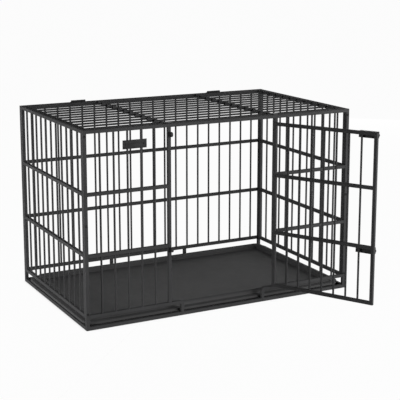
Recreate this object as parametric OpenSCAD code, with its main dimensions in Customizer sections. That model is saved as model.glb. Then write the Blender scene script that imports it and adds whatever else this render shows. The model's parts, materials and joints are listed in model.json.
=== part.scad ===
// Heavy duty dog crate: welded square tube and round bars, a front door that swings,
// two slide bolts, a roof that lifts and a plastic tray that slides out at the left end.
// Millimetres. Long side along X, back along +Y, up +Z, origin on the floor under the middle.

/* [Crate] */
// Length over the corner posts
crate_l = 1220; // [1160:10:1280]
// Depth from the front face to the back face
crate_w = 745; // [700:5:790]
// Height of the frame
crate_h = 795; // [740:5:850]
// Height of the lower rail's underside above the floor
sill_z = 48; // [46:1:56]

/* [Tube and bars] */
// Width of the square tube
tube = 14; // [13:0.5:15]
// Wall of the square tube
tube_wall = 1.2; // [1:0.1:1.6]
// Outer corner radius of the square tube
tube_round = 1.5; // [1.2:0.1:2]
// Diameter of the round bars
bar_d = 8.25; // [6.5:0.25:8.5]
// Bars in each half of the front
front_bars = 5; // [5:1:6]
// Bars in the back
back_bars = 20; // [17:1:21]
// Bars in each side
side_bars = 11; // [9:1:12]
// Bars in the roof
roof_bars = 11; // [9:1:12]
// Bars in the door
door_bars = 7; // [6:1:8]

/* [Doorway] */
// Clear width between the two door posts
door_clear = 478; // [464:2:490]
// Distance of the bent sill legs from the middle
sill_leg_x = 190; // [180:1:200]
// Centre line radius of the bend in the sill legs
sill_bend_r = 11; // [10:0.5:12]

/* [Door] */
// Angle by which the door stands open
door_open = 119; // [100:1:130]
// Gap between the door and the latch post
latch_gap = 5; // [4:0.5:6]
// Gap under the door
door_foot_gap = 2; // [2:0.5:4]
// Gap over the door
door_head_gap = 14; // [12:0.5:18]
// Outside diameter of the door hinges
door_barrel_d = 8; // [7.5:0.5:9]
// Length of each half of a door hinge
door_barrel_l = 28; // [24:1:34]
// Distance of the lower and upper door hinge from the door's ends
door_hinge_inset = 116; // [100:2:130]

/* [Latches] */
// Length of a latch housing along the door
latch_w = 80; // [76:1:90]
// Height of a latch housing
latch_h = 26; // [25:1:30]
// Depth of a latch housing
latch_d = 18; // [18:0.5:20]
// Distance of a latch housing from the door's free edge
latch_inset = 6; // [5:0.5:8]
// Diameter of a slide bolt
bolt_d = 10; // [9:0.5:10]
// Travel of a slide bolt
bolt_travel = 25; // [22:1:27]
// Drop of the lower latch below the lower mid rail
lower_latch_drop = 15; // [10:1:20]

/* [Roof] */
// Gap round the roof
roof_gap = 3; // [2.5:0.5:4]
// Distance of the roof hinges from the middle
roof_hinge_x = 342; // [320:2:380]
// Length of a roof hinge
roof_hinge_l = 66; // [60:1:76]
// Outside diameter of a roof hinge's barrel
roof_barrel_d = 9; // [8:0.5:9]

/* [Tray] */
// Distance of the tray's ends inside the crate's end faces
tray_inset = 6; // [4:0.5:10]
// Gap between the tray and the front and back panels
tray_gap_y = 6.5; // [5:0.5:12]
// Width of the ledge on the tray's skirt
skirt_ledge = 25; // [22:0.5:28]
// Radius of the rim's outer side
rim_r = 15.5; // [14:0.5:16]
// Radius of the rim's inner side
rim_inner_r = 8; // [6:0.5:10]
// Corner radius of the tray's rim
rim_corner = 34; // [30:1:40]
// Corner radius of the tray's lip
lip_corner = 53; // [46:1:58]
// Wall of the tray
tray_wall = 2.5; // [2:0.25:3]
// Distance of the outer floor runners from the middle
runner_y = 220; // [180:5:240]

/* [Name plate] */
// Width of the bare plate
plate_w = 102; // [100:1:116]
// Height of the bare plate
plate_h = 35; // [30:1:40]
// Drop of the plate's middle below the top of the frame
plate_drop = 68.5; // [60:0.5:90]

/* [Hidden] */
steel = [0.13, 0.13, 0.135];
fitting = [0.07, 0.07, 0.075];
plastic = [0.21, 0.21, 0.215];

// fits
weld_play = 0.1;
run_play = 0.05;
part_play = 0.3;

// frame lines
t2 = tube / 2;
half_l = crate_l / 2;
half_w = crate_w / 2;
post_x = half_l - t2;
panel_y = half_w - t2;
side_end_y = half_w - tube;
side_post_y = side_end_y - t2;
top_under = crate_h - tube;
top_c = crate_h - t2;
sill_c = sill_z + t2;
sill_top = sill_z + tube;
low_c = sill_c + (top_c - sill_c) / 3;
high_c = sill_c + (top_c - sill_c) * 2 / 3;
door_post_x = door_clear / 2 + t2;
inner_l = 2 * (half_l - tube);
inner_side = 2 * (side_end_y - tube);

// bar spacing: share of the pitch between an end bar and the frame
front_end = 0.95;
back_end = 0.72;
side_end = 0.84;
roof_end = 0.69;
door_end = 1;
function pitch(n, span, share) = span / (n - 1 + 2 * share);
function places(n, span, share) = [for (i = [0 : n - 1]) (i - (n - 1) / 2) * pitch(n, span, share)];

// front halves
half_in = door_clear / 2 + tube;
half_out = half_l - tube;
half_c = (half_in + half_out) / 2;
half_span = half_out - half_in;
front_at = places(front_bars, half_span, front_end);
back_at = places(back_bars, inner_l, back_end);
side_at = places(side_bars, inner_side, side_end);

// corner bolts
corner_bolt_d = 6;
corner_head_d = 11;
corner_head_h = 3;
corner_bolt_l = 1.5 * tube;
corner_bolt_foot = 4;
corner_bolt_head = 11;
corner_bolt_z = [sill_top + corner_bolt_foot, (sill_top + top_under) / 2, top_under - corner_bolt_head];

// door, in its own lines: hinge axis at the origin, door along -X, outside face at Y = 0
hinge_side = door_barrel_d / 2 + part_play;
axis_x = door_clear / 2 - hinge_side;
axis_y = -half_w;
door_reach = door_clear - hinge_side - latch_gap;
door_w = door_reach - hinge_side;
door_z0 = sill_top + door_foot_gap;
door_z1 = top_under - door_head_gap;
door_h = door_z1 - door_z0;
door_c = -(door_reach + hinge_side) / 2;
door_zc = (door_z0 + door_z1) / 2;
door_span = door_w - 2 * tube;
door_at = places(door_bars, door_span, door_end);
door_pin_d = 4;
door_hinge_z = [door_z0 + door_hinge_inset, door_z1 - door_hinge_inset];
leaf_near = 1.5;
leaf_t = 2.5;
barrel_gap = 0.5;

// latches
upper_z = door_z1 - tube;
lower_z = low_c - lower_latch_drop;
latch_x = -door_reach + latch_inset;
bolt_axis = 10;
bolt_nose = 4;
bolt_short = 4;
bolt_l = latch_w - bolt_short;
knob_back = 44;
knob_x = latch_x + knob_back;
knob_post_d = 6;
knob_d = 12;
knob_h = 6;
knob_lift = 2;
slot_play = 0.5;
rivet_d = 4;
rivet_head_d = 7;
rivet_head_h = 1.8;
rivet_edge = 3.5;
rivet_in = 4;
rivet_x = latch_x + rivet_in;
rivet_off = latch_h / 2 - rivet_edge;

// keepers
keeper_bore = bolt_d + 2;
keeper_d = 2 * bolt_axis;
keeper_l = 11;
keeper_foot = 12;

// roof
roof_x = half_l - tube - roof_gap;
roof_y = half_w - tube - roof_gap;
roof_axis_y = half_w - tube - roof_gap / 2;
roof_span = 2 * (roof_y - tube);
roof_at = places(roof_bars, roof_span, roof_end);
roof_leaf_t = 2;
roof_barrel_lift = 0.5;
roof_axis_z = crate_h + roof_barrel_d / 2 + roof_barrel_lift;
roof_pin_d = 4;
knuckle = roof_hinge_l / 3;
leaf_room = 1;
leaf_clear = roof_barrel_d / 2 + leaf_room;
tab_w = 24;
tab_over = 10;

// tray
tray_l = 2 * (half_l - tray_inset);
tray_w = 2 * (half_w - tube - tray_gap_y);
tray_head = 7.5;
tray_top = sill_z - tray_head;
tray_z0 = tube + part_play;
tray_floor = 3;
tray_floor_top = tray_z0 + tray_floor;
rim_z = tray_top - rim_r;
ledge_drop = 1;
skirt_z = rim_z - ledge_drop;
rim_l = tray_l - 2 * skirt_ledge;
rim_w = tray_w - 2 * skirt_ledge;
rim_mid = rim_corner - rim_r;
rim_in = rim_mid - rim_inner_r;
rim_in_z = tray_top - rim_inner_r;
foot_r = rim_in + tray_wall;

// plate
front_pitch = pitch(front_bars, half_span, front_end);
plate_x = -half_c + (front_bars % 2 == 1 ? front_pitch / 2 : 0);
plate_z = crate_h - plate_drop;
plate_t = 2;
bar_front = -panel_y - bar_d / 2;
bar_back = -panel_y + bar_d / 2;
screw_d = 4;
screw_head_d = 8;
screw_head_h = 2;
screw_room = 1;
screw_off = front_pitch / 2 + bar_d / 2 + screw_head_d / 2 + screw_room;
strip_h = 14;
strip_w = 2 * (screw_off + screw_head_d);

// shapes shared by the pieces

module tube_outline() {
    flat = tube - 2 * tube_round;
    square([tube, flat], center = true);
    square([flat, tube], center = true);
    for (x = [-1, 1], y = [-1, 1])
        translate([x * flat / 2, y * flat / 2])
            circle(r = tube_round, $fn = 24);
}

module tube_section() {
    difference() {
        tube_outline();
        square(tube - 2 * tube_wall, center = true);
    }
}

module tube_z(len) {
    linear_extrude(height = len, center = true)
        tube_section();
}

module tube_x(len) {
    rotate([90, 0, 90])
        tube_z(len);
}

module tube_y(len) {
    rotate([90, 0, 0])
        tube_z(len);
}

// tube along X with both ends mitred, its long edge on the +Z side
module mitred(len) {
    intersection() {
        tube_x(len);
        rotate([90, 0, 0])
            linear_extrude(height = 3 * tube, center = true)
                polygon([
                    [-len / 2 - tube, t2 + tube], [len / 2 + tube, t2 + tube],
                    [len / 2 - 2 * tube, -t2 - tube], [-len / 2 + 2 * tube, -t2 - tube]
                ]);
    }
}

// mitred upright, its long edge on the side that s points to
module mitred_post(len, s) {
    rotate([0, s * 90, 0])
        mitred(len);
}

module bar_bores_z(at, len) {
    for (x = at)
        translate([x, 0, 0])
            cylinder(d = bar_d + 2 * weld_play, h = len, center = true, $fn = 32);
}

// upright bars along X from the lower rail to the upper rail
module upright_bars(at, z0, z1) {
    for (x = at)
        translate([x, 0, z0])
            cylinder(d = bar_d, h = z1 - z0, $fn = 32);
}

// tube along X with a bore for each bar
module bored_rail(len, at) {
    difference() {
        tube_x(len);
        bar_bores_z(at, 2 * tube);
    }
}

// round head on the XY plane
module dome(d, h) {
    r = (d * d / 4 + h * h) / (2 * h);
    intersection() {
        translate([0, 0, h - r])
            sphere(r = r, $fn = 48);
        cylinder(d = 2 * d, h = 2 * h, $fn = 32);
    }
}

// fastener along +Y, head on the plane Y = 0
module fastener(d, len, head_d, head_h) {
    rotate([-90, 0, 0])
        cylinder(d = d, h = len, $fn = 24);
    rotate([90, 0, 0])
        dome(head_d, head_h);
}

module bore_y(d, len) {
    rotate([-90, 0, 0])
        cylinder(d = d + 2 * weld_play, h = len, $fn = 24);
}

// front panel

module corner_pair() {
    for (s = [-1, 1])
        difference() {
            translate([s * post_x, 0, crate_h / 2])
                mitred_post(crate_h, s);
            for (z = corner_bolt_z)
                translate([s * post_x, -tube, z])
                    bore_y(corner_bolt_d, 2 * tube);
        }
}

module front_corner_posts() {
    color(steel)
        translate([0, -panel_y, 0])
            corner_pair();
}

module front_top_rail() {
    color(steel)
        translate([0, -panel_y, top_c])
            mitred(crate_l);
}

module front_floor_rail() {
    color(steel)
        translate([0, -panel_y, t2])
            rotate([180, 0, 0])
                mitred(crate_l);
}

module door_post(s) {
    translate([s * door_post_x, -panel_y, (sill_top + top_under) / 2])
        tube_z(top_under - sill_top);
}

module latch_post() {
    color(steel)
        door_post(-1);
}

module hinge_post() {
    color(steel)
        door_post(1);
}

module front_mid_rails() {
    color(steel)
        for (s = [-1, 1], z = [low_c, high_c])
            translate([s * half_c, -panel_y, z])
                bored_rail(half_span, front_at);
}

module front_sill_rails() {
    near = sill_leg_x + sill_bend_r;
    color(steel)
        for (s = [-1, 1])
            translate([s * (near + half_out) / 2, -panel_y, sill_c])
                tube_x(half_out - near);
}

// leg from the floor rail up and round into the sill rail
module sill_leg() {
    bend_z = sill_c - sill_bend_r;
    translate([sill_leg_x, 0, (tube + bend_z) / 2])
        tube_z(bend_z - tube);
    translate([sill_leg_x + sill_bend_r, 0, bend_z])
        rotate([90, 0, 0])
            rotate([0, 0, 90])
                rotate_extrude(angle = 90, $fn = 48)
                    translate([sill_bend_r, 0])
                        tube_section();
}

module front_sill_legs() {
    color(steel)
        translate([0, -panel_y, 0]) {
            sill_leg();
            mirror([1, 0, 0])
                sill_leg();
        }
}

module front_uprights() {
    color(steel)
        for (s = [-1, 1])
            translate([s * half_c, -panel_y, 0])
                upright_bars(front_at, sill_top, top_under);
}

// back panel

module back_corner_posts() {
    color(steel)
        translate([0, panel_y, 0])
            corner_pair();
}

module back_top_rail() {
    color(steel)
        translate([0, panel_y, top_c])
            mitred(crate_l);
}

module back_floor_rail() {
    color(steel)
        translate([0, panel_y, t2])
            rotate([180, 0, 0])
                mitred(crate_l);
}

module back_rails() {
    color(steel)
        translate([0, panel_y, 0]) {
            translate([0, 0, sill_c])
                tube_x(inner_l);
            for (z = [low_c, high_c])
                translate([0, 0, z])
                    bored_rail(inner_l, back_at);
        }
}

module back_stubs() {
    color(steel)
        for (s = [-1, 1])
            translate([s * sill_leg_x, panel_y, (tube + sill_z) / 2])
                tube_z(sill_z - tube);
}

module back_uprights() {
    color(steel)
        translate([0, panel_y, 0])
            upright_bars(back_at, sill_top, top_under);
}

// side panels, drawn along X and turned into place

module side_posts() {
    panel_h = crate_h - sill_z;
    for (s = [-1, 1])
        difference() {
            translate([s * side_post_y, 0, sill_z + panel_h / 2])
                mitred_post(panel_h, s);
            for (z = corner_bolt_z)
                translate([s * (side_end_y + 1), 0, z])
                    rotate([0, 0, s * 90])
                        bore_y(corner_bolt_d, t2 + 1);
        }
}

module side_rails() {
    translate([0, 0, top_c])
        mitred(2 * side_end_y);
    translate([0, 0, sill_c])
        rotate([180, 0, 0])
            mitred(2 * side_end_y);
    for (z = [low_c, high_c])
        translate([0, 0, z])
            bored_rail(inner_side, side_at);
}

module on_side(s) {
    translate([s * post_x, 0, 0])
        rotate([0, 0, 90])
            children();
}

module left_posts() {
    color(steel)
        on_side(-1)
            side_posts();
}

module left_rails() {
    color(steel)
        on_side(-1)
            side_rails();
}

module left_bars() {
    color(steel)
        on_side(-1)
            upright_bars(side_at, sill_top, top_under);
}

module right_posts() {
    color(steel)
        on_side(1)
            side_posts();
}

module right_rails() {
    color(steel)
        on_side(1)
            side_rails();
}

module right_bars() {
    color(steel)
        on_side(1)
            upright_bars(side_at, sill_top, top_under);
}

// floor

module side_floor_rails() {
    color(steel)
        for (s = [-1, 1])
            translate([s * post_x, 0, t2])
                tube_y(2 * side_end_y);
}

module floor_runners() {
    color(steel)
        for (y = [-runner_y, 0, runner_y])
            translate([0, y, t2])
                tube_x(inner_l);
}

module corner_bolts() {
    color(fitting)
        for (x = [-post_x, post_x], z = corner_bolt_z) {
            translate([x, -half_w, z])
                fastener(corner_bolt_d, corner_bolt_l, corner_head_d, corner_head_h);
            translate([x, half_w, z])
                rotate([0, 0, 180])
                    fastener(corner_bolt_d, corner_bolt_l, corner_head_d, corner_head_h);
        }
}

// fittings on the fixed crate

module keeper() {
    difference() {
        union() {
            translate([0, -bolt_axis, 0])
                rotate([0, 90, 0])
                    cylinder(d = keeper_d, h = keeper_l, center = true, $fn = 48);
            translate([-keeper_l / 2, -bolt_axis / 2, -keeper_foot / 2])
                cube([keeper_l, bolt_axis / 2, keeper_foot]);
        }
        translate([0, -bolt_axis, 0])
            rotate([0, 90, 0])
                cylinder(d = keeper_bore, h = 2 * keeper_l, center = true, $fn = 48);
    }
}

module latch_keepers() {
    color(fitting)
        for (z = [upper_z, lower_z])
            translate([-door_clear / 2 - keeper_l / 2, -half_w, z])
                keeper();
}

// half of a door hinge above z = 0, its leaf towards the side that s points to
module hinge_half(s) {
    difference() {
        union() {
            cylinder(d = door_barrel_d, h = door_barrel_l, $fn = 32);
            translate([s > 0 ? 0 : -hinge_side, leaf_near, 0])
                cube([hinge_side, leaf_t, door_barrel_l]);
        }
        translate([0, 0, -1])
            cylinder(d = door_pin_d + 2 * run_play, h = door_barrel_l + 2, $fn = 24);
    }
}

module at_hinge() {
    translate([axis_x, axis_y, 0])
        children();
}

module door_hinge_barrels() {
    color(fitting)
        at_hinge()
            for (z = door_hinge_z)
                translate([0, 0, z - door_barrel_l - barrel_gap / 2])
                    hinge_half(1);
}

module door_hinge_pins() {
    color(fitting)
        at_hinge()
            for (z = door_hinge_z)
                translate([0, 0, z])
                    cylinder(d = door_pin_d, h = 2 * door_barrel_l + barrel_gap, center = true, $fn = 24);
}

// knuckles of a roof hinge from x0 to x1 with a leaf towards the side that s points to
module roof_leaf(s, spans) {
    difference() {
        union() {
            translate([-roof_hinge_l / 2, s > 0 ? leaf_clear : -tube, 0])
                cube([roof_hinge_l, tube - leaf_clear, roof_leaf_t]);
            for (k = spans) {
                translate([k[0], s > 0 ? 0 : -leaf_clear - 1, 0])
                    cube([k[1] - k[0], leaf_clear + 1, roof_leaf_t]);
                translate([k[0], 0, roof_axis_z - crate_h])
                    rotate([0, 90, 0])
                        cylinder(d = roof_barrel_d, h = k[1] - k[0], $fn = 32);
            }
        }
        translate([0, 0, roof_axis_z - crate_h])
            rotate([0, 90, 0])
                cylinder(d = roof_pin_d + 2 * run_play, h = 2 * roof_hinge_l, center = true, $fn = 24);
    }
}

module at_roof_hinges() {
    for (s = [-1, 1])
        translate([s * roof_hinge_x, roof_axis_y, crate_h])
            children();
}

module roof_hinge_leaves() {
    end = roof_hinge_l / 2;
    mid = knuckle / 2 + part_play;
    color(fitting)
        at_roof_hinges()
            roof_leaf(1, [[-end, -mid], [mid, end]]);
}

module roof_hinge_pins() {
    color(fitting)
        at_roof_hinges()
            translate([0, 0, roof_axis_z - crate_h])
                rotate([0, 90, 0])
                    cylinder(d = roof_pin_d, h = roof_hinge_l, center = true, $fn = 24);
}

// plate

module plate_bores() {
    for (s = [-1, 1])
        translate([plate_x + s * screw_off, bar_front - 2 * plate_t, plate_z])
            bore_y(screw_d, bar_d + 4 * plate_t);
}

module name_plate() {
    color(fitting)
        difference() {
            translate([plate_x - plate_w / 2, bar_front - plate_t, plate_z - plate_h / 2])
                cube([plate_w, plate_t, plate_h]);
            plate_bores();
        }
}

module plate_strip() {
    color(steel)
        difference() {
            translate([plate_x - strip_w / 2, bar_back, plate_z - strip_h / 2])
                cube([strip_w, plate_t, strip_h]);
            plate_bores();
        }
}

module plate_screws() {
    color(fitting)
        for (s = [-1, 1])
            translate([plate_x + s * screw_off, bar_front - plate_t, plate_z])
                fastener(screw_d, bar_d + 2 * plate_t, screw_head_d, screw_head_h);
}

// door

module on_door() {
    at_hinge()
        rotate([0, 0, door_open])
            children();
}

module rivet_bores() {
    for (z = [upper_z, lower_z], s = [-1, 1])
        translate([rivet_x, -2 * latch_d, z + s * rivet_off])
            bore_y(rivet_d, 2 * latch_d + t2);
}

module door_hinge_stile() {
    color(steel)
        on_door()
            translate([-hinge_side - t2, t2, door_zc])
                mitred_post(door_h, 1);
}

module door_free_stile() {
    color(steel)
        on_door()
            difference() {
                translate([-door_reach + t2, t2, door_zc])
                    mitred_post(door_h, -1);
                rivet_bores();
            }
}

module door_rails() {
    color(steel)
        on_door()
            difference() {
                translate([door_c, t2, 0]) {
                    translate([0, 0, door_z1 - t2])
                        mitred(door_w);
                    translate([0, 0, door_z0 + t2])
                        rotate([180, 0, 0])
                            mitred(door_w);
                    for (z = [low_c, high_c])
                        translate([0, 0, z])
                            bored_rail(door_span, door_at);
                }
                rivet_bores();
            }
}

module door_uprights() {
    color(steel)
        on_door()
            translate([door_c, t2, 0])
                upright_bars(door_at, door_z0 + tube, door_z1 - tube);
}

module door_knuckles() {
    color(fitting)
        on_door()
            for (z = door_hinge_z)
                translate([0, 0, z + barrel_gap / 2])
                    hinge_half(-1);
}

// latches, in the door's lines

module housing(z) {
    slot_h = knob_post_d + 2 * slot_play;
    difference() {
        translate([latch_x, -latch_d, z - latch_h / 2])
            cube([latch_w, latch_d, latch_h]);
        translate([latch_x - 1, -bolt_axis, z])
            rotate([0, 90, 0])
                cylinder(d = bolt_d + 2 * run_play, h = latch_w + 2, $fn = 48);
        translate([knob_x - bolt_travel - slot_h / 2, -latch_d - 1, z - slot_h / 2])
            cube([bolt_travel + slot_h, latch_d - bolt_axis + 1, slot_h]);
        rivet_bores();
    }
}

module upper_housing() {
    color(fitting)
        on_door()
            housing(upper_z);
}

module lower_housing() {
    color(fitting)
        on_door()
            housing(lower_z);
}

module latch_rivets() {
    color(fitting)
        on_door()
            for (z = [upper_z, lower_z], s = [-1, 1])
                translate([rivet_x, -latch_d, z + s * rivet_off])
                    fastener(rivet_d, latch_d + 2 * tube_wall, rivet_head_d, rivet_head_h);
}

module slide_bolt(z) {
    difference() {
        translate([latch_x - bolt_nose, -bolt_axis, z])
            rotate([0, 90, 0])
                cylinder(d = bolt_d, h = bolt_l, $fn = 48);
        translate([knob_x, -bolt_axis - bolt_d, z])
            bore_y(knob_post_d, bolt_d);
    }
}

module knob(z) {
    head_y = -latch_d - knob_lift;
    translate([knob_x, -bolt_axis, z])
        rotate([90, 0, 0]) {
            cylinder(d = knob_post_d, h = -head_y - bolt_axis + 1, $fn = 24);
            translate([0, 0, -head_y - bolt_axis])
                cylinder(d = knob_d, h = knob_h, $fn = 32);
        }
}

module upper_bolt() {
    color(fitting)
        on_door()
            slide_bolt(upper_z);
}

module upper_knob() {
    color(fitting)
        on_door()
            knob(upper_z);
}

module lower_bolt() {
    color(fitting)
        on_door()
            slide_bolt(lower_z);
}

module lower_knob() {
    color(fitting)
        on_door()
            knob(lower_z);
}

// roof

module roof_long_tubes() {
    color(steel)
        for (a = [0, 180])
            translate([0, 0, top_c])
                rotate([0, 0, a])
                    translate([0, roof_y - t2, 0])
                        rotate([-90, 0, 0])
                            mitred(2 * roof_x);
}

module roof_short_tubes() {
    color(steel)
        for (a = [0, 180])
            translate([0, 0, top_c])
                rotate([0, 0, a])
                    translate([roof_x - t2, 0, 0])
                        rotate([0, 0, -90])
                            rotate([-90, 0, 0])
                                mitred(2 * roof_y);
}

module roof_cross_tubes() {
    color(steel)
        for (s = [-1, 1])
            difference() {
                translate([s * door_post_x, 0, top_c])
                    tube_y(roof_span);
                for (y = roof_at)
                    translate([s * door_post_x, y, top_c])
                        rotate([0, 90, 0])
                            cylinder(d = bar_d + 2 * weld_play, h = 2 * tube, center = true, $fn = 32);
            }
}

module roof_lengthways() {
    color(steel)
        for (y = roof_at)
            translate([0, y, top_c])
                rotate([0, 90, 0])
                    cylinder(d = bar_d, h = 2 * (roof_x - tube), center = true, $fn = 32);
}

module roof_moving_leaves() {
    mid = knuckle / 2;
    color(fitting)
        at_roof_hinges()
            roof_leaf(-1, [[-mid, mid]]);
}

module roof_tabs() {
    front = -half_w + tube - tab_over;
    color(fitting)
        for (s = [-1, 1])
            translate([s * door_post_x - tab_w / 2, 0, crate_h]) {
                translate([0, front, part_play])
                    cube([tab_w, -roof_y - front, roof_leaf_t - part_play]);
                translate([0, -roof_y, 0])
                    cube([tab_w, tube, roof_leaf_t]);
            }
}

// tray

module rounded(l, w, r) {
    square([l - 2 * r, w], center = true);
    square([l, w - 2 * r], center = true);
    for (x = [-1, 1], y = [-1, 1])
        translate([x * (l / 2 - r), y * (w / 2 - r)])
            circle(r = r, $fn = 48);
}

// quarter of a round wall, towards the side that s points to
module rim_side(r, z, s) {
    intersection() {
        translate([rim_mid, z])
            difference() {
                circle(r = r, $fn = 64);
                circle(r = r - tray_wall, $fn = 64);
            }
        translate([rim_mid - (s > 0 ? 0 : 2 * r), z])
            square(2 * r);
    }
}

// rim and wall as one section, drawn from a corner's centre outwards
module rim_section() {
    rim_side(rim_r, rim_z, 1);
    rim_side(rim_inner_r, rim_in_z, -1);
    translate([rim_corner - tray_wall, skirt_z])
        square([tray_wall, rim_z - skirt_z]);
    translate([rim_in, tray_floor_top])
        square([tray_wall, rim_in_z - tray_floor_top]);
}

module tray_edge(len) {
    rotate([90, 0, 0])
        linear_extrude(height = len, center = true)
            rim_section();
}

module tray_rim(cx, cy) {
    for (s = [0, 180])
        rotate([0, 0, s]) {
            translate([cx, 0, 0])
                tray_edge(2 * cy);
            translate([0, cy, 0])
                rotate([0, 0, 90])
                    tray_edge(2 * cx);
            translate([cx, cy, 0])
                rotate_extrude(angle = 90, $fn = 64)
                    rim_section();
            translate([-cx, cy, 0])
                rotate([0, 0, 90])
                    rotate_extrude(angle = 90, $fn = 64)
                        rim_section();
        }
}

// ledge round the rim with a lip down to the floor rails
module tray_skirt() {
    ledge_z = skirt_z - tray_wall;
    inside = 2 * tray_wall;
    translate([0, 0, ledge_z])
        linear_extrude(height = tray_wall)
            difference() {
                rounded(tray_l, tray_w, lip_corner);
                rounded(rim_l - inside, rim_w - inside, rim_corner - tray_wall);
            }
    translate([0, 0, tray_z0])
        linear_extrude(height = ledge_z - tray_z0)
            difference() {
                rounded(tray_l, tray_w, lip_corner);
                rounded(tray_l - inside, tray_w - inside, lip_corner - tray_wall);
            }
}

module tray() {
    cx = rim_l / 2 - rim_corner;
    cy = rim_w / 2 - rim_corner;
    color(plastic) {
        tray_rim(cx, cy);
        tray_skirt();
        translate([0, 0, tray_z0])
            linear_extrude(height = tray_floor)
                rounded(2 * (cx + foot_r), 2 * (cy + foot_r), foot_r);
    }
}

front_corner_posts();
front_top_rail();
front_floor_rail();
latch_post();
hinge_post();
front_mid_rails();
front_sill_rails();
front_sill_legs();
front_uprights();
back_corner_posts();
back_top_rail();
back_floor_rail();
back_rails();
back_stubs();
back_uprights();
left_posts();
left_rails();
left_bars();
right_posts();
right_rails();
right_bars();
side_floor_rails();
floor_runners();
corner_bolts();
latch_keepers();
door_hinge_barrels();
door_hinge_pins();
roof_hinge_leaves();
roof_hinge_pins();
name_plate();
plate_strip();
plate_screws();
door_hinge_stile();
door_free_stile();
door_rails();
door_uprights();
door_knuckles();
upper_housing();
lower_housing();
latch_rivets();
upper_bolt();
upper_knob();
lower_bolt();
lower_knob();
roof_long_tubes();
roof_short_tubes();
roof_cross_tubes();
roof_lengthways();
roof_moving_leaves();
roof_tabs();
tray();
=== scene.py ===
import json
import math

import bmesh
import bpy
from mathutils import Euler, Matrix, Vector


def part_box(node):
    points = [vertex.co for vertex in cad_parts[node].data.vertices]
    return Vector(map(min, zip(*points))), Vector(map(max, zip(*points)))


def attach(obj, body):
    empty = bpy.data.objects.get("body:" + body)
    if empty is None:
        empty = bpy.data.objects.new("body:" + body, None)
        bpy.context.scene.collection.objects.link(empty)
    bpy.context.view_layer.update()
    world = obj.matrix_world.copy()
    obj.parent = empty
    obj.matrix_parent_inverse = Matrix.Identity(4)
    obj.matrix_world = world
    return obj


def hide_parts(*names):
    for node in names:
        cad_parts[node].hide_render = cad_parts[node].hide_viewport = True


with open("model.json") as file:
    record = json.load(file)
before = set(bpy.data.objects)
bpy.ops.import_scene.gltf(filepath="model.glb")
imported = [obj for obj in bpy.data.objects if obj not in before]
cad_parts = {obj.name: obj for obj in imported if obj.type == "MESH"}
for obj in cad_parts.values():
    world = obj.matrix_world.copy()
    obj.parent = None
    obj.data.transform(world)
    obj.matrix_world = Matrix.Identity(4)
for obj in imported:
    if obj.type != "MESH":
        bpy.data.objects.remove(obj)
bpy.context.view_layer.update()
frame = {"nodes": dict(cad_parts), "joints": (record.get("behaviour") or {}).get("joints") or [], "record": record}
nodes = frame["nodes"]
scene = bpy.context.scene
scene.view_settings.view_transform = "Standard"
xAxis, yAxis, zAxis = Vector((1, 0, 0)), Vector((0, 1, 0)), Vector((0, 0, 1))


# small helpers for node trees
def newMaterial(name):
    mat = bpy.data.materials.new(name)
    mat.use_nodes = True
    mat.node_tree.nodes.clear()
    return mat, mat.node_tree


def addNode(tree, kind, **settings):
    node = tree.nodes.new(kind)
    for key, value in settings.items():
        setattr(node, key, value)
    return node


def noiseOn(tree, coord, scale, detail):
    node = addNode(tree, "ShaderNodeTexNoise")
    node.inputs["Scale"].default_value = scale
    node.inputs["Detail"].default_value = detail
    tree.links.new(coord.outputs["Object"], node.inputs["Vector"])
    return node


def rampBetween(tree, source, low, high, start=0.3, stop=0.7):
    ramp = addNode(tree, "ShaderNodeValToRGB")
    ramp.color_ramp.elements[0].position = start
    ramp.color_ramp.elements[1].position = stop
    ramp.color_ramp.elements[0].color = (*low, 1)
    ramp.color_ramp.elements[1].color = (*high, 1)
    tree.links.new(source, ramp.inputs["Fac"])
    return ramp


def spanOf(tree, source, low, high):
    node = addNode(tree, "ShaderNodeMapRange")
    node.inputs["To Min"].default_value = low
    node.inputs["To Max"].default_value = high
    tree.links.new(source, node.inputs["Value"])
    return node


# each value is a number or another node's output
def feed(tree, sockets, values):
    for socket, value in zip(sockets, values):
        if isinstance(value, (int, float)):
            socket.default_value = value
        else:
            tree.links.new(value, socket)


def mathNode(tree, operation, first, second):
    node = addNode(tree, "ShaderNodeMath", operation=operation)
    feed(tree, node.inputs, (first, second))
    return node.outputs[0]


# a finish: cloudy colour, uneven gloss and a fine grain
def makeFinish(name, look):
    mat, tree = newMaterial(name)
    out = addNode(tree, "ShaderNodeOutputMaterial")
    shader = addNode(tree, "ShaderNodeBsdfPrincipled")
    tree.links.new(shader.outputs["BSDF"], out.inputs["Surface"])
    coord = addNode(tree, "ShaderNodeTexCoord")
    cloud = noiseOn(tree, coord, look["cloudScale"], detail=3)
    ramp = rampBetween(tree, cloud.outputs["Fac"], look["dark"], look["light"])
    tree.links.new(ramp.outputs["Color"], shader.inputs["Base Color"])
    smear = noiseOn(tree, coord, look["smearScale"], detail=4)
    rough = spanOf(tree, smear.outputs["Fac"], *look["roughness"])
    tree.links.new(rough.outputs["Result"], shader.inputs["Roughness"])
    grain = noiseOn(tree, coord, look["grainScale"], detail=2)
    bump = addNode(tree, "ShaderNodeBump")
    bump.inputs["Strength"].default_value = look["grainStrength"]
    bump.inputs["Distance"].default_value = look["grainDepth"]
    tree.links.new(grain.outputs["Fac"], bump.inputs["Height"])
    tree.links.new(bump.outputs["Normal"], shader.inputs["Normal"])
    shader.inputs["Specular IOR Level"].default_value = look["specular"]
    return mat


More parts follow.
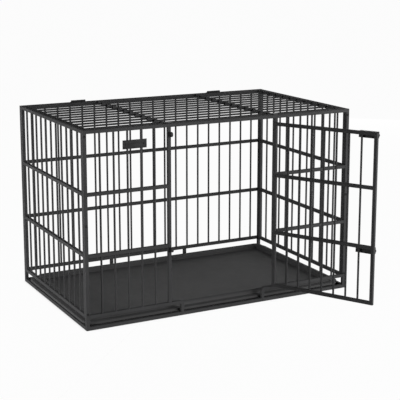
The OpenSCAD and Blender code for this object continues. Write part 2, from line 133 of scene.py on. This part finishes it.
powderCoatLook = dict(
    dark=(0.041, 0.041, 0.0418), light=(0.051, 0.051, 0.052), cloudScale=7.0,
    roughness=(0.68, 0.82), smearScale=60.0,
    grainScale=1300.0, grainStrength=0.25, grainDepth=0.00012, specular=0.02,
)
fittingLook = dict(
    dark=(0.021, 0.021, 0.0215), light=(0.027, 0.027, 0.0276), cloudScale=25.0,
    roughness=(0.5, 0.62), smearScale=120.0,
    grainScale=1800.0, grainStrength=0.15, grainDepth=0.00008, specular=0.06,
)
trayLook = dict(
    dark=(0.038, 0.038, 0.0385), light=(0.045, 0.045, 0.0456), cloudScale=4.0,
    roughness=(0.66, 0.78), smearScale=30.0,
    grainScale=900.0, grainStrength=0.35, grainDepth=0.0002, specular=0.15,
)
powderCoat = makeFinish("powderCoat", powderCoatLook)
blackFitting = makeFinish("blackFitting", fittingLook)
trayPlastic = makeFinish("trayPlastic", trayLook)
finishOfSlot = {
    "coated_steel": powderCoat,
    "black_fitting": blackFitting,
    "tray_plastic": trayPlastic,
}
for part in frame["record"]["subparts"]:
    mesh = nodes[part["node"]].data
    mesh.materials.clear()
    mesh.materials.append(finishOfSlot[part["material_slot"]])
print("finishes on", len(nodes), "CAD nodes")


# helpers for meshes and pieces
def addPiece(name, mesh, body, slot, *replaced):
    obj = bpy.data.objects.new(name, mesh)
    scene.collection.objects.link(obj)
    if replaced:
        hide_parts(*replaced)
    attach(obj, body)
    return obj


def meshOf(bm, name, finish, sharpAt=None):
    mesh = bpy.data.meshes.new(name)
    bm.to_mesh(mesh)
    bm.free()
    mesh.materials.clear()
    mesh.materials.append(finish)
    for face in mesh.polygons:
        face.use_smooth = True
        face.material_index = 0
    if sharpAt:
        mesh.set_sharp_from_angle(angle=math.radians(sharpAt))
    return mesh


def joinMeshes(name, meshes, finish, sharpAt=None):
    bm = bmesh.new()
    for mesh in meshes:
        bm.from_mesh(mesh)
    bmesh.ops.recalc_face_normals(bm, faces=bm.faces)
    return meshOf(bm, name, finish, sharpAt)


# a closed skin over rings of equal count, from the first to the last
def skinRings(bm, rings):
    for low, high in zip(rings, rings[1:]):
        for i in range(len(low)):
            j = (i + 1) % len(low)
            bm.faces.new((low[i], low[j], high[j], high[i]))
    bm.faces.new(rings[-1])
    bm.faces.new(list(reversed(rings[0])))


# places read from the CAD nodes
def splitPlaces(values, gap=0.02):
    ordered = sorted(values)
    groups = [[ordered[0], ordered[0]]]
    for value in ordered[1:]:
        if value - groups[-1][1] > gap:
            groups.append([value, value])
        groups[-1][1] = value
    return [(a + b) / 2 for a, b in groups]


def barPlaces(nodeName, along, origin=Vector((0, 0, 0))):
    return splitPlaces([(v.co - origin).dot(along) for v in nodes[nodeName].data.vertices])


def railLevels(nodeName):
    return splitPlaces([v.co.z for v in nodes[nodeName].data.vertices])


def centreOf(nodeName):
    lo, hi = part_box(nodeName)
    return (lo + hi) / 2


def heightOf(nodeName):
    lo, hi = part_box(nodeName)
    return hi.z - lo.z


# what the two trees that repeat a shape have in common
def startTree(name, inputs, result):
    tree = bpy.data.node_groups.new(name, "GeometryNodeTree")
    tree.interface.new_socket("Places", in_out="INPUT", socket_type="NodeSocketGeometry")
    for label, kind in inputs.items():
        tree.interface.new_socket(label, in_out="INPUT", socket_type="NodeSocket" + kind)
    tree.interface.new_socket(result, in_out="OUTPUT", socket_type="NodeSocketGeometry")
    return tree, addNode(tree, "NodeGroupInput").outputs


def randomValue(tree, given, low, high):
    node = addNode(tree, "FunctionNodeRandomValue", data_type="FLOAT")
    tree.links.new(given["Seed"], node.inputs["Seed"])
    limits = [s for s in node.inputs if s.enabled and s.type == "VALUE"]
    feed(tree, limits, (low, high))
    return next(s for s in node.outputs if s.enabled)


def placeShape(tree, given, shape, size):
    place = addNode(tree, "GeometryNodeInstanceOnPoints")
    tree.links.new(given["Places"], place.inputs["Points"])
    tree.links.new(shape, place.inputs["Instance"])
    tree.links.new(given["Turn"], place.inputs["Rotation"])
    tree.links.new(size, place.inputs["Scale"])
    return place.outputs["Instances"]


def endTree(tree, given, instances):
    real = addNode(tree, "GeometryNodeRealizeInstances")
    tree.links.new(instances, real.inputs["Geometry"])
    paint = addNode(tree, "GeometryNodeSetMaterial")
    tree.links.new(real.outputs["Geometry"], paint.inputs["Geometry"])
    tree.links.new(given["Finish"], paint.inputs["Material"])
    tree.links.new(paint.outputs["Geometry"], addNode(tree, "NodeGroupOutput").inputs[0])


def grownMesh(tree, points, inputs):
    base = bpy.data.meshes.new("places")
    base.from_pydata([tuple(p) for p in points], [], [])
    holder = bpy.data.objects.new("places", base)
    scene.collection.objects.link(holder)
    modifier = holder.modifiers.new("grow", "NODES")
    modifier.node_group = tree
    for item in tree.interface.items_tree:
        if item.in_out == "INPUT" and item.name in inputs:
            modifier[item.identifier] = inputs[item.name]
    graph = bpy.context.evaluated_depsgraph_get()
    mesh = bpy.data.meshes.new_from_object(holder.evaluated_get(graph))
    holder.modifiers.remove(modifier)
    bpy.data.objects.remove(holder)
    return mesh


# weld beads: a small ring round each bar and tube where it meets the next one
weldLook = dict(barBead=0.0009, tubeBead=0.0007, tubeCorner=0.0015, roundness=0.999, cornerSteps=3,
                beadSides=5, unevenness=0.12, seed=4)
tube = heightOf("front_top_rail")
barD = heightOf("roof_lengthways")
half = tube / 2


def beadTree():
    tree, given = startTree("weldBeads", {
        "Across": "Float", "Corner": "Float", "Bead": "Float", "Turn": "Rotation",
        "Unevenness": "Float", "Seed": "Int", "Finish": "Material"}, "Beads")
    link = tree.links.new
    loop = addNode(tree, "GeometryNodeCurvePrimitiveQuadrilateral")
    link(given["Across"], loop.inputs["Width"])
    link(given["Across"], loop.inputs["Height"])
    rounded = addNode(tree, "GeometryNodeFilletCurve", mode="POLY")
    rounded.inputs["Count"].default_value = weldLook["cornerSteps"]
    link(loop.outputs["Curve"], rounded.inputs["Curve"])
    link(given["Corner"], rounded.inputs["Radius"])
    section = addNode(tree, "GeometryNodeCurvePrimitiveCircle")
    section.inputs["Resolution"].default_value = weldLook["beadSides"]
    link(given["Bead"], section.inputs["Radius"])
    sweep = addNode(tree, "GeometryNodeCurveToMesh")
    link(rounded.outputs["Curve"], sweep.inputs["Curve"])
    link(section.outputs["Curve"], sweep.inputs["Profile Curve"])
    least = mathNode(tree, "SUBTRACT", 1, given["Unevenness"])
    most = mathNode(tree, "ADD", 1, given["Unevenness"])
    size = addNode(tree, "ShaderNodeCombineXYZ")
    size.inputs["X"].default_value = 1
    size.inputs["Y"].default_value = 1
    link(randomValue(tree, given, least, most), size.inputs["Z"])
    endTree(tree, given, placeShape(tree, given, sweep.outputs["Mesh"], size.outputs[0]))
    return tree


weldTree = beadTree()


# around is "bar" or "tube", normal the direction in which that runs
def beads(points, around, normal):
    look = weldLook
    side = xAxis if abs(normal.z) > 0.9 else zAxis.cross(normal).normalized()
    turn = Matrix((side, normal.cross(side), normal)).transposed().to_euler()
    if around == "bar":
        across, corner, bead = barD, barD / 2 * look["roundness"], look["barBead"]
    else:
        across, corner, bead = tube, look["tubeCorner"], look["tubeBead"]
    return grownMesh(weldTree, points, {
        "Across": across, "Corner": corner, "Bead": bead, "Turn": turn,
        "Unevenness": look["unevenness"], "Seed": look["seed"], "Finish": powderCoat})


lowZ, highZ = railLevels("front_mid_rails")
railFaces = [lowZ - half, lowZ + half, highZ - half, highZ + half]


def uprightPoints(nodeName, along, line):
    lo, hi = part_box(nodeName)
    return [line + along * s + zAxis * z for s in barPlaces(nodeName, along, line)
            for z in [lo.z, hi.z, *railFaces]]


# beads of the fixed crate
frontY, backY = centreOf("front_top_rail").y, centreOf("back_top_rail").y
leftX, rightX = centreOf("left_rails").x, centreOf("right_rails").x
upright = uprightPoints("front_uprights", xAxis, yAxis * frontY)
upright += uprightPoints("back_uprights", xAxis, yAxis * backY)
upright += uprightPoints("left_bars", yAxis, xAxis * leftX)
upright += uprightPoints("right_bars", yAxis, xAxis * rightX)
postX = abs(centreOf("hinge_post").x)
innerX = rightX - half
sillZ = centreOf("front_sill_rails").z
legX = splitPlaces([abs(v.co.x) for v in nodes["back_stubs"].data.vertices])[0]
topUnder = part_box("front_top_rail")[0].z
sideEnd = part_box("left_rails")[1].y
acrossX, acrossY, acrossZ = [], [], []
for s in (-1, 1):
    acrossX += [(s * x, frontY, z) for x in (innerX, postX + half) for z in (lowZ, highZ)]
    acrossX += [(s * innerX, frontY, sillZ)] + [(s * innerX, backY, z) for z in (sillZ, lowZ, highZ)]
    acrossZ += [(s * postX, frontY, sillZ + half), (s * postX, frontY, topUnder)]
    acrossZ += [(s * legX, frontY, tube), (s * legX, backY, tube), (s * legX, backY, sillZ - half)]
    acrossY += [(x, s * (sideEnd - tube), z) for x in (leftX, rightX) for z in (lowZ, highZ)]
    acrossY += [(x, s * sideEnd, half) for x in (leftX, rightX)]
crateWelds = [beads(upright, "bar", zAxis), beads(acrossX, "tube", xAxis),
              beads(acrossY, "tube", yAxis), beads(acrossZ, "tube", zAxis)]
addPiece("crateWelds", joinMeshes("crateWelds", crateWelds, powderCoat), "crate", "coated_steel")

# beads of the door, which stands open at rest
doorJoint = next(j for j in frame["joints"] if j["name"] == "door_swing")
doorPivot = Vector((doorJoint["pos_m"][0], doorJoint["pos_m"][1], 0))
doorAngle = math.pi - math.radians(doorJoint["range_deg"][0])
doorOut = Vector((math.cos(doorAngle), math.sin(doorAngle), 0))
doorIn = Vector((-doorOut.y, doorOut.x, 0))  # square to the door's width
doorLine = doorPivot + doorIn * -half
doorUpright = uprightPoints("door_uprights", doorOut, doorLine)
hingeStile, freeStile = [barPlaces(n, doorOut, doorLine)[0] for n in ("door_hinge_stile", "door_free_stile")]
doorAcross = [doorLine + doorOut * s + zAxis * z
              for s in (hingeStile + half, freeStile - half) for z in (lowZ, highZ)]
doorWelds = [beads(doorUpright, "bar", zAxis), beads(doorAcross, "tube", doorOut)]
addPiece("doorWelds", joinMeshes("doorWelds", doorWelds, powderCoat), "door", "coated_steel")

# beads of the roof
roofLo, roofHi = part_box("roof_lengthways")
roofZ = (roofLo.z + roofHi.z) / 2
roofBars = barPlaces("roof_lengthways", yAxis)
roofCross = barPlaces("roof_cross_tubes", xAxis)
roofEndX = [roofLo.x, roofHi.x] + [x + s * half for x in roofCross for s in (-1, 1)]
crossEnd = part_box("roof_cross_tubes")[1].y
roofWelds = [beads([(x, y, roofZ) for x in roofEndX for y in roofBars], "bar", xAxis),
             beads([(x, s * crossEnd, roofZ) for x in roofCross for s in (-1, 1)], "tube", yAxis)]
addPiece("roofWelds", joinMeshes("roofWelds", roofWelds, powderCoat), "roof", "coated_steel")
print("weld beads on bars:", len(upright), "crate,", len(doorUpright), "door,",
      len(roofEndX) * len(roofBars), "roof")


# tray: one moulded shell with a lip, a ledge, a rolled rim, a soft foot and a flat floor
traySizes = dict(
    lipCorner=0.053, rimCorner=0.034, ledge=0.025, ledgeDrop=0.001, rim=0.0155, rimInner=0.008,
    wall=0.0025, floor=0.003, soft=0.002, foot=0.004,
    cornerSteps=14, softSteps=4, rimSteps=12, innerSteps=8, footSteps=6, sharpAt=40,
)


def arcPoints(centre, radius, start, stop, steps):
    turns = [math.radians(start + (stop - start) * i / steps) for i in range(steps + 1)]
    return [(centre[0] + radius * math.cos(a), centre[1] + radius * math.sin(a)) for a in turns]


# each point of the section: distance in from the lip, height
def traySection(lo, hi):
    s = traySizes
    ledge, soft, rim, wall = s["ledge"], s["soft"], s["rim"], s["wall"]
    rimInner, foot = s["rimInner"], s["foot"]
    crest = ledge + rim
    rimZ = hi.z - rim
    innerZ = hi.z - rimInner
    ledgeZ = rimZ - s["ledgeDrop"]
    floorZ = lo.z + s["floor"]
    innerWall = crest + rimInner
    start = 180 - math.degrees(math.asin((soft - s["ledgeDrop"]) / rim))
    outer = [(0, lo.z)]
    outer += arcPoints((soft, ledgeZ - soft), soft, 180, 90, s["softSteps"])
    outer += arcPoints((ledge - soft, ledgeZ + soft), soft, -90, 0, s["softSteps"])
    outer += arcPoints((crest, rimZ), rim, start, 90, s["rimSteps"])[1:]
    outer += arcPoints((crest, innerZ), rimInner, 90, 0, s["innerSteps"])[1:]
    outer += arcPoints((innerWall + foot, floorZ + foot), foot, 180, 270, s["footSteps"])
    inner = [(wall, lo.z), (wall, ledgeZ - wall), (ledge + wall, ledgeZ - wall)]
    inner += arcPoints((crest, rimZ), rim - wall, 180, 90, s["rimSteps"])
    inner += arcPoints((crest, innerZ), rimInner - wall, 90, 0, s["innerSteps"])[1:]
    inner += [(innerWall - wall, lo.z + soft), (innerWall - wall + soft, lo.z)]
    return outer, inner


# corner radius of the outline at a distance in from the lip
def cornerRadius(d):
    s = traySizes
    if d < s["ledge"]:
        return s["lipCorner"] + (s["rimCorner"] - s["lipCorner"]) * d / s["ledge"]
    return s["rimCorner"] - d + s["ledge"]


def trayMesh():
    lo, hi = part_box("tray")
    outer, inner = traySection(lo, hi)
    bm = bmesh.new()
    centre = (lo + hi) / 2
    halfX, halfY = (hi.x - lo.x) / 2, (hi.y - lo.y) / 2
    steps = traySizes["cornerSteps"]

    def ring(d, z):
        r = cornerRadius(d)
        verts = []
        for k, (sx, sy) in enumerate(((1, 1), (-1, 1), (-1, -1), (1, -1))):
            for i in range(steps + 1):
                a = math.pi / 2 * (k + i / steps)
                verts.append(bm.verts.new((centre.x + sx * (halfX - d - r) + r * math.cos(a),
                                           centre.y + sy * (halfY - d - r) + r * math.sin(a), z)))
        return verts

    skinRings(bm, [ring(*p) for p in reversed(inner)] + [ring(*p) for p in outer])
    bmesh.ops.recalc_face_normals(bm, faces=bm.faces)
    return meshOf(bm, "tray", trayPlastic, traySizes["sharpAt"])


addPiece("trayShell", trayMesh(), "tray", "tray_plastic", "tray")
print("tray made")


# fittings with their edges softened as pressed and turned steel has them
softEdges = {
    "upper_housing": ("upperHousing", "door", 0.0014),
    "lower_housing": ("lowerHousing", "door", 0.0014),
    "upper_knob": ("upperKnob", "upper_bolt", 0.0013),
    "lower_knob": ("lowerKnob", "lower_bolt", 0.0013),
    "latch_keepers": ("latchKeepers", "crate", 0.0009),
    "name_plate": ("barePlate", "crate", 0.0007),
    "roof_hinge_leaves": ("roofHingeLeaves", "crate", 0.0006),
    "roof_moving_leaves": ("roofMovingLeaves", "roof", 0.0006),
    "roof_tabs": ("roofTabs", "roof", 0.0005),
}
softLook = dict(mergeAt=1e-6, flatAt=1, edgeAt=40, segments=2, sharpAt=32)  # angles in degrees


def softened(nodeName, pieceName, width):
    look = softLook
    bm = bmesh.new()
    bm.from_mesh(nodes[nodeName].data)
    bmesh.ops.remove_doubles(bm, verts=bm.verts, dist=look["mergeAt"])
    bmesh.ops.dissolve_limit(bm, angle_limit=math.radians(look["flatAt"]), verts=bm.verts, edges=bm.edges)
    edges = [e for e in bm.edges if e.is_manifold and e.calc_face_angle(0) > math.radians(look["edgeAt"])]
    bmesh.ops.bevel(bm, geom=edges, offset=width, segments=look["segments"], profile=0.5,
                    affect="EDGES", clamp_overlap=True)
    return meshOf(bm, pieceName, blackFitting, look["sharpAt"])


for nodeName, (pieceName, body, width) in softEdges.items():
    addPiece(pieceName, softened(nodeName, pieceName, width), body, "black_fitting", nodeName)
print("softened fittings:", len(softEdges))

# corner bolts: domed heads with a hexagon socket, each turned a little differently
# rise: radius and height up the dome, as shares of the head's diameter
boltHead = dict(
    across=0.011, rise=[(0.5, 0), (0.5, 0.05), (0.47, 0.12), (0.40, 0.19), (0.31, 0.24)],
    socket=0.42, socketDepth=0.16, segments=24, spin=60, seed=9, sharpAt=35,
)


def headMesh():
    bm = bmesh.new()
    count = boltHead["segments"]
    topZ = boltHead["rise"][-1][1]

    def ring(radius, z):
        return [bm.verts.new((radius(i) * math.cos(2 * math.pi * i / count),
                              radius(i) * math.sin(2 * math.pi * i / count), z)) for i in range(count)]

    def socketRadius(i):
        turn = math.radians(360 * i / count % 60 - 30)
        return boltHead["socket"] / 2 / math.cos(turn)

    rings = [ring(lambda i, r=r: r, z) for r, z in boltHead["rise"]]
    rings += [ring(socketRadius, topZ), ring(socketRadius, topZ - boltHead["socketDepth"])]
    skinRings(bm, rings)
    return meshOf(bm, "boltHead", blackFitting)


def boltTree():
    tree, given = startTree("boltHeads", {
        "Head": "Object", "Diameter": "Float", "Turn": "Rotation", "Seed": "Int",
        "Finish": "Material"}, "Heads")
    link = tree.links.new
    head = addNode(tree, "GeometryNodeObjectInfo")
    link(given["Head"], head.inputs["Object"])
    about = addNode(tree, "ShaderNodeCombineXYZ")
    link(randomValue(tree, given, 0, math.radians(boltHead["spin"])), about.inputs["Z"])
    twist = addNode(tree, "GeometryNodeRotateInstances")
    link(placeShape(tree, given, head.outputs["Geometry"], given["Diameter"]), twist.inputs["Instances"])
    link(about.outputs[0], twist.inputs["Rotation"])
    endTree(tree, given, twist.outputs["Instances"])
    return tree


headObject = bpy.data.objects.new("boltHead", headMesh())
scene.collection.objects.link(headObject)
headTree = boltTree()
boltZ = railLevels("corner_bolts")
cornerX = centreOf("right_posts").x
frontFace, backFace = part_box("front_top_rail")[0].y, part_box("back_top_rail")[1].y
heads = []
for y, outward in ((frontFace, -yAxis), (backFace, yAxis)):
    heads.append(grownMesh(headTree, [(s * cornerX, y, z) for s in (-1, 1) for z in boltZ], {
        "Head": headObject, "Diameter": boltHead["across"], "Seed": boltHead["seed"],
        "Finish": blackFitting, "Turn": zAxis.rotation_difference(outward).to_euler()}))
cornerBolts = joinMeshes("cornerBolts", heads, blackFitting, boltHead["sharpAt"])
addPiece("cornerBolts", cornerBolts, "crate", "black_fitting", "corner_bolts")
bpy.data.objects.remove(headObject)
print("corner bolts:", 4 * len(boltZ))

# camera at the photograph's place; angles in degrees, pixels and shift in pixels of the picture
cameraPlace = dict(at=(-2.1252, -4.2307, 1.4913), down=11.098, turn=-27.57, pixels=1107.2, shift=-40,
                   picture=400, sensor=36, reach=500)
camData = bpy.data.cameras.new("camera")
cam = bpy.data.objects.new("camera", camData)
scene.collection.objects.link(cam)
cam.location = cameraPlace["at"]
cam.rotation_euler = Euler((math.radians(90 - cameraPlace["down"]), 0, math.radians(cameraPlace["turn"])))
camData.sensor_width = cameraPlace["sensor"]
camData.lens = cameraPlace["pixels"] * cameraPlace["sensor"] / cameraPlace["picture"]
camData.shift_y = cameraPlace["shift"] / cameraPlace["picture"]
camData.clip_end = cameraPlace["reach"]
scene.camera = cam

# white floor and surround, with painted shade on the floor from ambient occlusion
stageLook = dict(floorReach=150, floorDrop=0.0003, floorWhite=0.97, floorDiffuse=0.6, ambient=0.024,
                 paintedShadeReach=0.06, paintedShadeAO=(0.2, 0.6), paintedShadeSamples=12)


# 1 for the rays that should see the white background
def seenRays(tree):
    path = addNode(tree, "ShaderNodeLightPath").outputs
    direct = mathNode(tree, "MAXIMUM", path["Is Camera Ray"], path["Is Glossy Ray"])
    return mathNode(tree, "MAXIMUM", direct, path["Is Transmission Ray"])


# pale floor with painted shade: ambient occlusion darkens its white glow and its colour, most of all in the narrow
# gap under the tray
def floorFinish():
    look = stageLook
    mat, tree = newMaterial("paleFloor")
    link = tree.links.new
    paintedShadeAO = addNode(tree, "ShaderNodeAmbientOcclusion", samples=look["paintedShadeSamples"])
    paintedShadeAO.inputs["Distance"].default_value = look["paintedShadeReach"]
    # painted shade: the floor's white share falls from floorWhite to 0 where ambient occlusion is low, as under
    # the tray
    openFloor = spanOf(tree, paintedShadeAO.outputs["AO"], 0, look["floorWhite"])
    openFloor.inputs["From Min"].default_value = look["paintedShadeAO"][0]
    openFloor.inputs["From Max"].default_value = look["paintedShadeAO"][1]
    openShare = openFloor.outputs["Result"]
    matt = addNode(tree, "ShaderNodeBsdfDiffuse")
    # the matt colour darkens with the same painted shade
    link(mathNode(tree, "MULTIPLY", openShare, look["floorDiffuse"] / look["floorWhite"]), matt.inputs["Color"])
    glow = addNode(tree, "ShaderNodeEmission")
    mix = addNode(tree, "ShaderNodeMixShader")
    # camera and glossy rays see the white glow only where the painted shade leaves it
    link(mathNode(tree, "MULTIPLY", seenRays(tree), openShare), mix.inputs["Fac"])
    link(matt.outputs["BSDF"], mix.inputs[1])
    link(glow.outputs["Emission"], mix.inputs[2])
    out = addNode(tree, "ShaderNodeOutputMaterial")
    link(mix.outputs["Shader"], out.inputs["Surface"])
    return mat


reach, drop = stageLook["floorReach"], stageLook["floorDrop"]
floorMesh = bpy.data.meshes.new("floor")
floorCorners = [(x * reach, y * reach, -drop) for x, y in ((-1, -1), (1, -1), (1, 1), (-1, 1))]
floorMesh.from_pydata(floorCorners, [], [(0, 1, 2, 3)])
floorMesh.materials.append(floorFinish())
floor = bpy.data.objects.new("floor", floorMesh)
scene.collection.objects.link(floor)

world = bpy.data.worlds.new("surround")
scene.world = world
world.use_nodes = True
worldTree = world.node_tree
worldTree.nodes.clear()
worldOut = addNode(worldTree, "ShaderNodeOutputWorld")
back = addNode(worldTree, "ShaderNodeBackground")
back.inputs["Color"].default_value = (1, 1, 1, 1)
level = spanOf(worldTree, seenRays(worldTree), stageLook["ambient"], 1.0)
worldTree.links.new(level.outputs["Result"], back.inputs["Strength"])
worldTree.links.new(back.outputs["Background"], worldOut.inputs["Surface"])

# soft lamps
lamps = {
    "frontLamp": dict(at=(2.4, -4.2, 1.0), aim=(0, 0, 0.35), size=3.2, power=350),
    "sideLamp": dict(at=(-2.4, 0.2, 0.16), aim=(0, 0, 0.3), size=0.8, power=66),
    "rearLamp": dict(at=(3.2, 3.6, 1.0), aim=(0, 0, 0.35), size=2.0, power=40),
}
for name, lamp in lamps.items():
    light = bpy.data.lights.new(name, "AREA")
    light.size = lamp["size"]
    light.energy = lamp["power"]
    obj = bpy.data.objects.new(name, light)
    scene.collection.objects.link(obj)
    obj.location = lamp["at"]
    obj.rotation_euler = (Vector(lamp["aim"]) - Vector(lamp["at"])).to_track_quat("-Z", "Y").to_euler()
    obj.visible_camera = False
print("camera, floor and lamps set")
